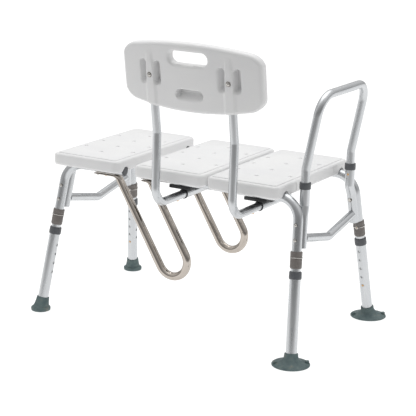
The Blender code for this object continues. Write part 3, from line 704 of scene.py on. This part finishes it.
def frame_leg(end, side):
    """The bent frame tube with its plug and snap button."""
    tag = "%s_%s" % (end, side)
    leg = LEG_ENDS[end]
    way = AXIS_X * -leg["inward"]
    mouth = at(leg["tube_start"], SIDES_Y[side] * FRAME_Y, FRAME_Z)
    path = bent_path([mouth + way * PLUG_T, leg_point(end, side, FRAME_Z),
                      leg_point(end, side, LEG_TUBE_END)], [LEG_BEND])
    tube("frame_tube_%s_drawn" % tag, path, LEG_R, AXIS_Y, ALUMINIUM, "bench", ("frame_tube_" + tag,),
         open_end=True)
    plug = ((0.0, -0.0005), (0.6 * LEG_R, -0.0005), (LEG_R, 0.0004), (LEG_R, PLUG_T), (0.0, PLUG_T))
    turned("frame_plug_%s_cap" % tag, mouth, way, plug, GREY, "bench", ("frame_plug_" + tag,),
           rounding=0.0008)
    snap_dome("leg_button_%s_dome" % tag, leg_point(end, side, HOLE_LOW) + inwards(end, side) * LEG_R,
              inwards(end, side), 0.0034, "leg_button_" + tag, "leg_button_" + tag)


def leg_extension(end, side):
    """The extension tube with its two columns of holes, each hole given a thin dark ring of painted shade in
    place of the shadow inside it.
    """
    tag = "%s_%s" % (end, side)
    name = "leg_extension_%s_drawn" % tag
    up = leg_up(end, side)
    low, high = EXTENSION
    origin = leg_point(end, side, 0.0)
    bore = EXTENSION_R - WALL
    profile = [(radius, z / up.z) for radius, z in ((EXTENSION_R, high), (EXTENSION_R, low), (bore, low),
                                                    (bore, high))]
    mesh = skin(name, turned_rows(origin, up, profile, TUBE_SIDES, inwards(end, side)), closed=True)
    way_y = inwards(end, side)
    way_x = square_pair(up, AXIS_X * LEG_ENDS[end]["inward"])[0]
    lowest = leg_point(end, side, HOLE_LOW)
    spots = [(lowest + up * (count * HOLE_PITCH), way_y) for count in range(HOLE_COUNT)]
    spots += [(lowest + up * ((count + 0.5) * HOLE_PITCH), way_x) for count in range(HOLE_COUNT - 1)]
    holes, shade_rings = [], bmesh.new()
    for spot, way in spots:
        holes.append((spot + way * BUTTON_R, way, LEG_R, (HOLE_R, HOLE_R)))
        # a ring of painted shade inside the hole, standing in for its shadow
        rows = turned_rows(spot + way * LEG_R, way, HOLE_SHADE_RING, 20)
        shade_rings.from_mesh(skin("shade_ring", rows, closed=True))
    mesh = carve(mesh, [(rods("holes", holes, 20), Matrix.Identity(4))])
    show(name, smooth(mesh, 30.0), ALUMINIUM, "leg_" + tag, ("leg_extension_" + tag,))
    show("leg_extension_%s_hole_linings" % tag, mesh_from("shade_rings", shade_rings), PAINTED_HOLE_SHADE, "leg_" + tag)


def leg_collars(end, side):
    """Extension collar, lock collar and the spring clip with its round head."""
    tag = "%s_%s" % (end, side)
    low, high = EXTENSION_COLLAR
    profile = ((EXTENSION_R, low), (0.0159, low), (0.0164, low + 0.004), (0.0160, high - 0.002),
               (0.0146, high), (LEG_R + 0.0002, high))
    on_leg("extension_collar_%s_cap" % tag, end, side, profile, GREY, "leg_" + tag,
           "extension_collar_" + tag, 0.0012)
    low, high = LOCK_COLLAR
    groove = (LOCK_CLIP_Z - 0.0016, LOCK_CLIP_Z + 0.0016)
    profile = ((LEG_R, low), (0.0143, low), (0.0153, low + 0.003), (0.0153, groove[0]), (0.0147, groove[0]),
               (0.0147, groove[1]), (0.0153, groove[1]), (0.0156, high - 0.003), (0.0150, high),
               (LEG_R, high))
    on_leg("lock_collar_%s_sleeve" % tag, end, side, profile, TAUPE, "bench", "lock_collar_" + tag, 0.0006)
    up, way = leg_up(end, side), inwards(end, side)
    centre = leg_point(end, side, LOCK_CLIP_Z)
    first, second = square_pair(up, way)
    rows = [ring(point, (point - centre).normalized(), up, CLIP_WIRE_R, CLIP_WIRE_R, 10)
            for point in ring(centre, first, second, CLIP_LOOP_R, CLIP_LOOP_R, 48)]
    show("lock_clip_%s_wire" % tag, skin("lock_clip_%s_wire" % tag, rows, closed=True), STEEL, "bench",
         ("lock_clip_" + tag,))
    turned("lock_clip_%s_head" % tag, centre + way * CLIP_HEAD_SEAT, way, CLIP_HEAD, STEEL, "bench",
           rounding=0.0003, sides=28)
    turned("lock_clip_%s_pin" % tag, centre + way * CLIP_LOOP_R, way, CLIP_PIN, BRASS, "bench", sides=20)


def foot_rows(end, side, base, boss, sides):
    """Rows up a foot: level rings at its base, then rings square to the leg."""
    up = leg_up(end, side)
    first, second = square_pair(UP, AXIS_Y)
    floor = leg_point(end, side, 0.0)
    rows = [ring(floor + UP * z, first, second, radius, radius, sides) for radius, z in base]
    first, second = square_pair(up, AXIS_Y)
    rows += [ring(leg_point(end, side, z), first, second, radius, radius, sides) for radius, z in boss]
    return rows


def rubber_tip(side):
    """The flanged rubber tip of an outer leg."""
    rows = foot_rows("outer", side, softened(TIP_BASE, 0.0014)[1:], softened(TIP_BOSS, 0.0008), 56)
    show("rubber_tip_%s_moulding" % side, skin("rubber_tip", rows), RUBBER, "leg_outer_" + side,
         ("rubber_tip_" + side,))


def suction_foot(side):
    """The wide suction foot of an inner leg, hollow below, with two release tabs on its rim."""
    rows = foot_rows("inner", side, softened(SUCTION_BASE, 0.0016), softened(SUCTION_BOSS, 0.0008), 72)
    show("suction_foot_%s_moulding" % side, skin("suction_foot", rows), RUBBER, "leg_inner_" + side,
         ("suction_foot_" + side,))
    floor = leg_point("inner", side, 0.0)
    for number, turn in enumerate(TAB_TURNS):
        way = Vector((cos(turn), sin(turn), 0.0))
        across = Vector((-sin(turn), cos(turn), 0.0))
        bm = block(TAB_SIZE, 0.0018, 3, 0.0012, 2)
        spin = Matrix((way, across, UP)).transposed().to_4x4()
        place = Matrix.Translation(floor + way * TAB_REACH + UP * TAB_Z) @ spin
        bmesh.ops.transform(bm, matrix=place, verts=bm.verts)
        tab = mesh_from("suction_tab", bm)
        show("suction_foot_%s_tab_%d" % (side, number), smooth(tab), RUBBER, "leg_inner_" + side)


# ---- second tubes, braces, armrest --------------------------------------------------------------

def second_tube_point(end, side, z):
    """Where the tube bolted beside a leg passes a height."""
    return leg_point(end, side, z) - Vector((0.0, SIDES_Y[side] * STUB_OFFSET_Y, 0.0))


def leg_bolts(end, side):
    """Two bolts through a leg and its second tube: heads on the leg, nuts on the second tube."""
    way = Vector((0.0, SIDES_Y[side], 0.0))
    for number, z in enumerate(BOLT_Z):
        tag = "%s_%s_%d" % (end, side, number)
        bolt("leg_bolt_" + tag, leg_point(end, side, z) + way * (LEG_R - 0.0004), way, "bench")
        bolt("leg_nut_" + tag, second_tube_point(end, side, z) - way * (LEG_R - 0.0004), -way, "bench",
             across=0.0048, hexagonal=True)


def leg_stub(side):
    """The short open tube beside an outer leg."""
    low, high = (second_tube_point("outer", side, z) for z in STUB)
    tube("leg_stub_%s_drawn" % side, [low, high], LEG_R, AXIS_Y, ALUMINIUM, "bench", ("leg_stub_" + side,),
         open_start=True, open_end=True)


def arm_receiver(side):
    """The armrest's receiver tube beside an inner leg, and its dark collar."""
    sign = SIDES_Y[side]
    path = bent_path([at(ARM_X, sign * ARM_Y, RECEIVER_TOP_Z), at(ARM_X, sign * ARM_Y, RECEIVER_KINK_Z[0]),
                      second_tube_point("inner", side, RECEIVER_KINK_Z[1]),
                      second_tube_point("inner", side, STUB[0])], RECEIVER_BENDS, 30)
    tube("arm_receiver_%s_drawn" % side, path, LEG_R, AXIS_X, ALUMINIUM, "bench", ("arm_receiver_" + side,),
         open_start=True, open_end=True)
    low, high = ARM_COLLAR
    profile = ((LEG_R, low), (0.0145, low), (0.0148, 0.5 * (low + high)), (0.0145, high),
               (SLIM_R + 0.0002, high))
    turned("arm_collar_%s_cap" % side, at(ARM_X, sign * ARM_Y, 0.0), UP, profile, GREY, "bench",
           ("arm_collar_" + side,), rounding=0.0012)
    way = Vector((0.0, -sign, 0.0))
    snap_dome("arm_button_%s_dome" % side, at(ARM_X, sign * ARM_Y, ARM_BUTTON_Z) + way * SLIM_R, way,
              0.0040, "arm_button_" + side, "arm_button_" + side)


def armrest():
    """The armrest loop."""
    top_x = ARM_X - ARM_LEAN * (ARM_TOP_Z - ARM_KINK_Z)
    half = [(ARM_X, ARM_Y, ARM_END_Z), (ARM_X, ARM_Y, ARM_KINK_Z), (top_x, ARM_Y, ARM_TOP_Z)]
    corners = [at(*point) for point in half] + [at(x, -y, z) for x, y, z in half[::-1]]
    path = bent_path(corners, (ARM_KINK_BEND, ARM_CORNER, ARM_CORNER, ARM_KINK_BEND), 16)
    tube("armrest_loop", path, SLIM_R, AXIS_X + UP * ARM_LEAN, ALUMINIUM, "armrest", ("armrest",))


def cross_brace(end):
    """The bent brace between the second tubes at one end."""
    reach, end_z = BRACE_END
    x_end = second_tube_point(end, "rear", end_z).x - SEAT.x
    path = bent_path([at(x_end, reach, end_z), at(x_end, 0.0, BRACE_KINK_Z), at(x_end, -reach, end_z)],
                     [BRACE_BEND], 24)
    tube("cross_brace_%s_drawn" % end, path, BRACE_R, AXIS_X, ALUMINIUM, "bench", ("cross_brace_" + end,))


# ---- rails across the curtain gap ---------------------------------------------------------------

def gap_rail(side):
    """One U-shaped chrome rail with flattened tongues, and the screws through them."""
    y = SIDES_Y[side] * RAIL_Y
    up_way = Vector((sin(RAIL_TILT), 0.0, cos(RAIL_TILT)))
    out_way = Vector((cos(RAIL_TILT), 0.0, -sin(RAIL_TILT)))
    centre = at(RAIL_CENTRE[0], y, RAIL_CENTRE[1])
    arms = []
    for sign, tongue_end in zip((1.0, -1.0), TONGUE_ENDS):
        start = centre + out_way * (sign * RAIL_TURN)
        rise = (TONGUE_Z - start.z) / up_way.z
        arms.append([at(tongue_end, y, TONGUE_Z), start + up_way * rise, start - up_way * RAIL_TURN])
    turn = 0.995 * RAIL_TURN
    path = bent_path(arms[0] + arms[1][::-1], [RAIL_BEND, turn, turn, RAIL_BEND], 18)
    corner_lengths = [0.0]
    for before, after in zip(path, path[1:]):
        corner_lengths.append(corner_lengths[-1] + (after - before).length)
    total = corner_lengths[-1]
    tongue_lengths = [(arm[1] - arm[0]).length for arm in arms]
    rows = []
    for (point, first, second, _), length in zip(path_frames(path, AXIS_Y), corner_lengths):
        past = min(length - tongue_lengths[0], total - length - tongue_lengths[1])
        share = smooth_step(0.5 + past / (2.0 * RAIL_BEND))
        across, through = (flat + (SLIM_R - flat) * share for flat in TONGUE_HALF)
        rows.append(ring(point, first, second, across, through, TUBE_SIDES))
    name = "gap_rail_%s_plated" % side
    show(name, skin(name, rows), CHROME, "bench", ("gap_rail_" + side,))
    underside = TONGUE_Z - TONGUE_HALF[1]
    for number, (x, kind) in enumerate(TONGUE_SCREWS):
        material = BRASS if kind == "brass" else DARK_STEEL
        bolt("rail_screw_%s_%d" % (side, number), at(x, y, underside), -UP, "bench", across=0.0042,
             material=material)
    bolt("rail_screw_%s_inner" % side, at(INNER_SCREW_X, y, underside), -UP, "bench", across=0.0040)
    x, y = PANEL_SCREW
    bolt("panel_screw_%s" % side, at(x, SIDES_Y[side] * y, PANEL_BOTTOM), -UP, "bench", across=0.0040,
         material=BRASS)


# ---- backrest -----------------------------------------------------------------------------------

def back_point(u, v, w):
    """A point of the backrest: u along it, v out of its rear, w up along its lean."""
    lean_up = Vector((0.0, sin(BACK_LEAN), cos(BACK_LEAN)))
    rearward = Vector((0.0, cos(BACK_LEAN), -sin(BACK_LEAN)))
    return at(BACK_X + u, *BACK_KINK) + rearward * v + lean_up * w


def back_side(hand, sign):
    """A backrest tube with its button, receiver, mouth ring and bracket."""
    u = sign * BACK_TUBE_U
    x = BACK_X + u
    low_y, low_z = BACK_LOW
    path = bent_path([at(x, BACK_TUBE_END_Y, low_z), at(x, low_y, low_z), back_point(u, 0.0, 0.0),
                      back_point(u, 0.0, BACK_TUBE_TOP)], BACK_TUBE_BENDS, 16)
    tube("back_tube_%s_drawn" % hand, path, SLIM_R, AXIS_X, ALUMINIUM, "backrest", ("back_tube_" + hand,))
    snap_dome("back_button_%s_dome" % hand, at(x, BACK_BUTTON_Y, low_z - SLIM_R), -UP, 0.0036,
              "back_button_" + hand, "back_button_" + hand)
    closed_y, mouth_y = BACK_RECEIVER_Y
    tube("back_receiver_%s_drawn" % hand, [at(x, closed_y, low_z), at(x, mouth_y, low_z)], LEG_R, AXIS_X,
         ALUMINIUM, "bench", ("back_receiver_" + hand,), open_start=True, open_end=True)
    ring_profile = ((LEG_R, mouth_y - MOUTH_RING), (0.0133, mouth_y - MOUTH_RING), (0.0134, mouth_y),
                    (0.0132, mouth_y + 0.001), (SLIM_R, mouth_y + 0.001))
    turned("back_mouth_ring_%s_cap" % hand, at(x, 0.0, low_z), AXIS_Y, ring_profile, BLACK, "bench",
           ("back_mouth_ring_" + hand,), rounding=0.0006)
    bm = bmesh.new()
    outline = bm.faces.new([bm.verts.new(at(x - BRACKET_HALF, y, z)) for y, z in BRACKET_OUTLINE])
    swept = bmesh.ops.extrude_face_region(bm, geom=[outline])
    verts = [item for item in swept["geom"] if isinstance(item, bmesh.types.BMVert)]
    bmesh.ops.translate(bm, vec=(2.0 * BRACKET_HALF, 0.0, 0.0), verts=verts)
    bmesh.ops.recalc_face_normals(bm, faces=bm.faces)
    bmesh.ops.bevel(bm, geom=bm.edges[:], offset=0.0009, segments=2, profile=0.5, affect="EDGES")
    name = "back_bracket_%s_moulding" % hand
    show(name, smooth(mesh_from(name, bm)), BLACK, "bench", ("back_bracket_" + hand,))
    seat = back_point(u, BACK_REAR - BACK_CURVE * u * u + RIDGE_HEIGHT, BACK_BOLT_W)
    rearward = back_point(0.0, 1.0, 0.0) - back_point(0.0, 0.0, 0.0)
    bolt("back_bolt_" + hand, seat, rearward, "backrest", across=0.0052)


def outside_slot(u, w, slot):
    """Distance from a round-ended slot (centre u, w, half sizes); negative inside it."""
    centre_u, centre_w, half_u, half_w = slot
    radius = min(half_u, half_w)
    over_u = max(0.0, abs(u - centre_u) - (half_u - radius))
    over_w = max(0.0, abs(w - centre_w) - (half_w - radius))
    return sqrt(over_u * over_u + over_w * over_w) - radius


def hollow(u, w, slot, ramps):
    """Depth share of a round-ended recess: steep walls, and soft ramps over the given distances."""
    share = smooth_step(-outside_slot(u, w, slot) / RECESS_WALL)
    for distance in ramps:
        share *= smooth_step(distance / RECESS_RAMP)
    return share


def rear_relief(u, w):
    """Height of the rear face over its plain curve: tube ridges up, recesses down."""
    off_line = abs(abs(u) - BACK_TUBE_U)
    narrowing = 1.0 - 0.45 * smooth_step((w - 0.12) / 0.10)
    inner, outer = (half * narrowing for half in RIDGE_HALF)
    across = smooth_step((outer - off_line) / (outer - inner))
    along = smooth_step((RIDGE_FADE[1] - w) / (RIDGE_FADE[1] - RIDGE_FADE[0]))
    relief = RIDGE_HEIGHT * across * along
    beside = SIDE_RECESS[0] + SIDE_RECESS[2] - off_line
    above = w - (SIDE_RECESS[1] - SIDE_RECESS[3])
    relief -= RECESS_DEPTH * hollow(off_line, w, SIDE_RECESS, (beside, above))
    above = w - (LOW_RECESS[1] - LOW_RECESS[3])
    return relief - RECESS_DEPTH * hollow(abs(u), w, LOW_RECESS, (above,))


def slot_rounding(u, w):
    """How far both faces fall away at the rim of the handle slot."""
    distance = outside_slot(u, w, HANDLE_SLOT)
    if distance >= SLOT_ROUNDING:
        return 0.0
    rise = SLOT_ROUNDING - max(0.0, distance)
    return SLOT_ROUNDING - sqrt(max(0.0, SLOT_ROUNDING ** 2 - rise ** 2))


def back_panel():
    """The backrest: a bent shell with soft recesses, ridges over its tubes and a rolled handle slot."""
    mid_w = 0.5 * (BACK_W[0] + BACK_W[1])
    half_w = 0.5 * (BACK_W[1] - BACK_W[0])
    bm = block((2.0 * BACK_HALF_U, 2.0 * half_w, BACK_T), BACK_CORNER, 12, BACK_EDGE, 6)
    slices = []
    for axis, half in ((AXIS_X, BACK_HALF_U), (AXIS_Y, half_w)):
        count = int(half / BACK_CELL)
        slices += [(axis * (step * BACK_CELL), axis) for step in range(-count, count + 1)]
    for spot, normal in slices:
        bmesh.ops.bisect_plane(bm, geom=bm.verts[:] + bm.edges[:] + bm.faces[:], dist=1e-6,
                               plane_co=spot, plane_no=normal)
    for vert in bm.verts:
        u, from_middle, depth = vert.co
        w = mid_w + from_middle * (1.0 - BACK_BOW * (u / BACK_HALF_U) ** 2)
        v = BACK_REAR - 0.5 * BACK_T + depth - BACK_CURVE * u * u
        rear_share = smooth_step(depth / FACE_BLEND)
        front_share = smooth_step(-depth / FACE_BLEND)
        v += rear_relief(u, w) * rear_share
        v -= slot_rounding(u, w) * (rear_share - front_share)
        vert.co = back_point(u, v, w)
    u, w, half_u, half_w = HANDLE_SLOT
    cutter = mesh_from("slot_cutter", block((2.0 * half_u, 2.0 * half_w, 0.12), 0.98 * half_w, 12))
    rearward = back_point(0.0, 1.0, 0.0) - back_point(0.0, 0.0, 0.0)
    lean_up = back_point(0.0, 0.0, 1.0) - back_point(0.0, 0.0, 0.0)
    turn = Matrix((AXIS_X, lean_up, -rearward)).transposed().to_4x4()
    place = Matrix.Translation(back_point(u, 0.0, w)) @ turn
    mesh = carve(mesh_from("backrest_moulding", bm), [(cutter, place)])
    show("backrest_moulding", smooth(mesh, 45.0), WHITE, "backrest", ("backrest_panel",))


# ---- studio -------------------------------------------------------------------------------------

CAMERA_TARGET = (-0.0272, 0.0, 0.3009)
CAMERA_DISTANCE = 4.144
CAMERA_AZIMUTH = radians(210.37)
CAMERA_ELEVATION = radians(14.72)
CAMERA_ROLL = radians(1.19)
CAMERA_LENS = 131.5

FLOOR_HALF = 40.0
FLOOR_GREY = 0.40
FLOOR_GLOW = 0.80
FLOOR_FADE = (1.0, 1.65)
SKY = ((0.0, 0.40), (0.15, 0.50), (0.50, 0.80), (1.0, 1.0))
SKY_STRENGTH = 1.02
DARK_STRENGTH = 0.55
DARK_AZIMUTH = radians(205.0)
DARK_SPREAD = radians(75.0)
SOFTBOX_PLACE = (0.2, -0.4, 3.0)
SOFTBOX_TARGET = (0.0, 0.0, 0.35)
SOFTBOX_SIZE = (3.0, 3.0)
SOFTBOX_POWER = 31.0


def camera():
    """The camera, looking from behind and the inner end of the bench."""
    data = bpy.data.cameras.new("camera")
    data.lens = CAMERA_LENS
    data.clip_end = 60.0
    back = Vector((sin(CAMERA_AZIMUTH) * cos(CAMERA_ELEVATION), -cos(CAMERA_AZIMUTH) * cos(CAMERA_ELEVATION),
                   sin(CAMERA_ELEVATION)))
    right = UP.cross(back).normalized()
    up = back.cross(right)
    turned_right = right * cos(CAMERA_ROLL) + up * sin(CAMERA_ROLL)
    turned_up = up * cos(CAMERA_ROLL) - right * sin(CAMERA_ROLL)
    view = bpy.data.objects.new("camera", data)
    bpy.context.scene.collection.objects.link(view)
    turn = Matrix((turned_right, turned_up, back)).transposed().to_4x4()
    view.matrix_world = Matrix.Translation(at(*CAMERA_TARGET) + back * CAMERA_DISTANCE) @ turn
    bpy.context.scene.camera = view


def floor():
    """A pale floor that glows; the glow fades out on the camera's side."""
    bm = bmesh.new()
    bmesh.ops.create_grid(bm, x_segments=1, y_segments=1, size=FLOOR_HALF)
    mesh = bpy.data.meshes.new("floor")
    bm.to_mesh(mesh)
    bm.free()
    paint = Paint("pale_floor", (FLOOR_GREY, FLOOR_GREY, FLOOR_GREY), 0.0, 0.9)
    paint.set("Specular IOR Level", 0.0)
    paint.set("Emission Color", (1.0, 1.0, 1.0, 1.0))
    place = paint.tree.nodes.new("ShaderNodeTexCoord")
    towards = paint.tree.nodes.new("ShaderNodeVectorMath")
    towards.operation = "DOT_PRODUCT"
    towards.inputs[1].default_value = (sin(DARK_AZIMUTH), -cos(DARK_AZIMUTH), 0.0)
    paint.link(place.outputs["Object"], towards.inputs[0])
    glow = paint.spread(towards.outputs["Value"], FLOOR_GLOW, 0.0, *FLOOR_FADE)
    paint.link(glow, paint.shader.inputs["Emission Strength"])
    mesh.materials.append(paint.material)
    plane = bpy.data.objects.new("floor", mesh)
    plane.location = (0.0, 0.0, -0.0005)
    bpy.context.scene.collection.objects.link(plane)


def world():
    """Studio surroundings: bright overhead, dimmer at the horizon, dark on the camera's side."""
    scene = bpy.context.scene
    scene.world = bpy.data.worlds.new("studio")
    scene.world.use_nodes = True
    tree = scene.world.node_tree
    background = tree.nodes["Background"]
    place = tree.nodes.new("ShaderNodeTexCoord")
    split = tree.nodes.new("ShaderNodeSeparateXYZ")
    ramp = tree.nodes.new("ShaderNodeValToRGB")
    while len(ramp.color_ramp.elements) < len(SKY):
        ramp.color_ramp.elements.new(0.5)
    for element, (position, grey) in zip(ramp.color_ramp.elements, SKY):
        element.position = position
        element.color = (grey, grey, grey, 1.0)
    near = tree.nodes.new("ShaderNodeVectorMath")
    near.operation = "DOT_PRODUCT"
    near.inputs[1].default_value = (sin(DARK_AZIMUTH), -cos(DARK_AZIMUTH), 0.0)
    dark = tree.nodes.new("ShaderNodeMapRange")
    dark.interpolation_type = "SMOOTHSTEP"
    dark.inputs["From Min"].default_value = cos(DARK_SPREAD)
    dark.inputs["From Max"].default_value = cos(0.4 * DARK_SPREAD)
    dark.inputs["To Min"].default_value = SKY_STRENGTH
    dark.inputs["To Max"].default_value = DARK_STRENGTH
    tree.links.new(place.outputs["Generated"], split.inputs["Vector"])
    tree.links.new(place.outputs["Generated"], near.inputs[0])
    tree.links.new(split.outputs["Z"], ramp.inputs["Fac"])
    tree.links.new(near.outputs["Value"], dark.inputs["Value"])
    tree.links.new(ramp.outputs["Color"], background.inputs["Color"])
    tree.links.new(dark.outputs["Result"], background.inputs["Strength"])


def top_softbox():
    """A wide light overhead, facing the middle of the bench."""
    data = bpy.data.lights.new("top_softbox", "AREA")
    data.shape = "RECTANGLE"
    data.size, data.size_y = SOFTBOX_SIZE
    data.energy = SOFTBOX_POWER
    lamp = bpy.data.objects.new("top_softbox", data)
    lamp.location = at(*SOFTBOX_PLACE)
    lamp.rotation_euler = (at(*SOFTBOX_PLACE) - at(*SOFTBOX_TARGET)).to_track_quat("Z", "Y").to_euler()
    bpy.context.scene.collection.objects.link(lamp)


def studio():
    """Camera, floor, surroundings and light."""
    camera()
    floor()
    world()
    top_softbox()
    bpy.context.scene.view_settings.view_transform = "Standard"


# ---- build --------------------------------------------------------------------------------------

for place_name in PANEL_X:
    seat_panel(place_name)
for end_name in LEG_ENDS:
    for side_name in SIDES_Y:
        frame_leg(end_name, side_name)
        leg_extension(end_name, side_name)
        leg_collars(end_name, side_name)
        leg_bolts(end_name, side_name)
    cross_brace(end_name)
for side_name in SIDES_Y:
    rubber_tip(side_name)
    suction_foot(side_name)
    leg_stub(side_name)
    arm_receiver(side_name)
    gap_rail(side_name)
armrest()
for hand_name, hand_sign in (("outer", 1.0), ("inner", -1.0)):
    back_side(hand_name, hand_sign)
back_panel()
studio()
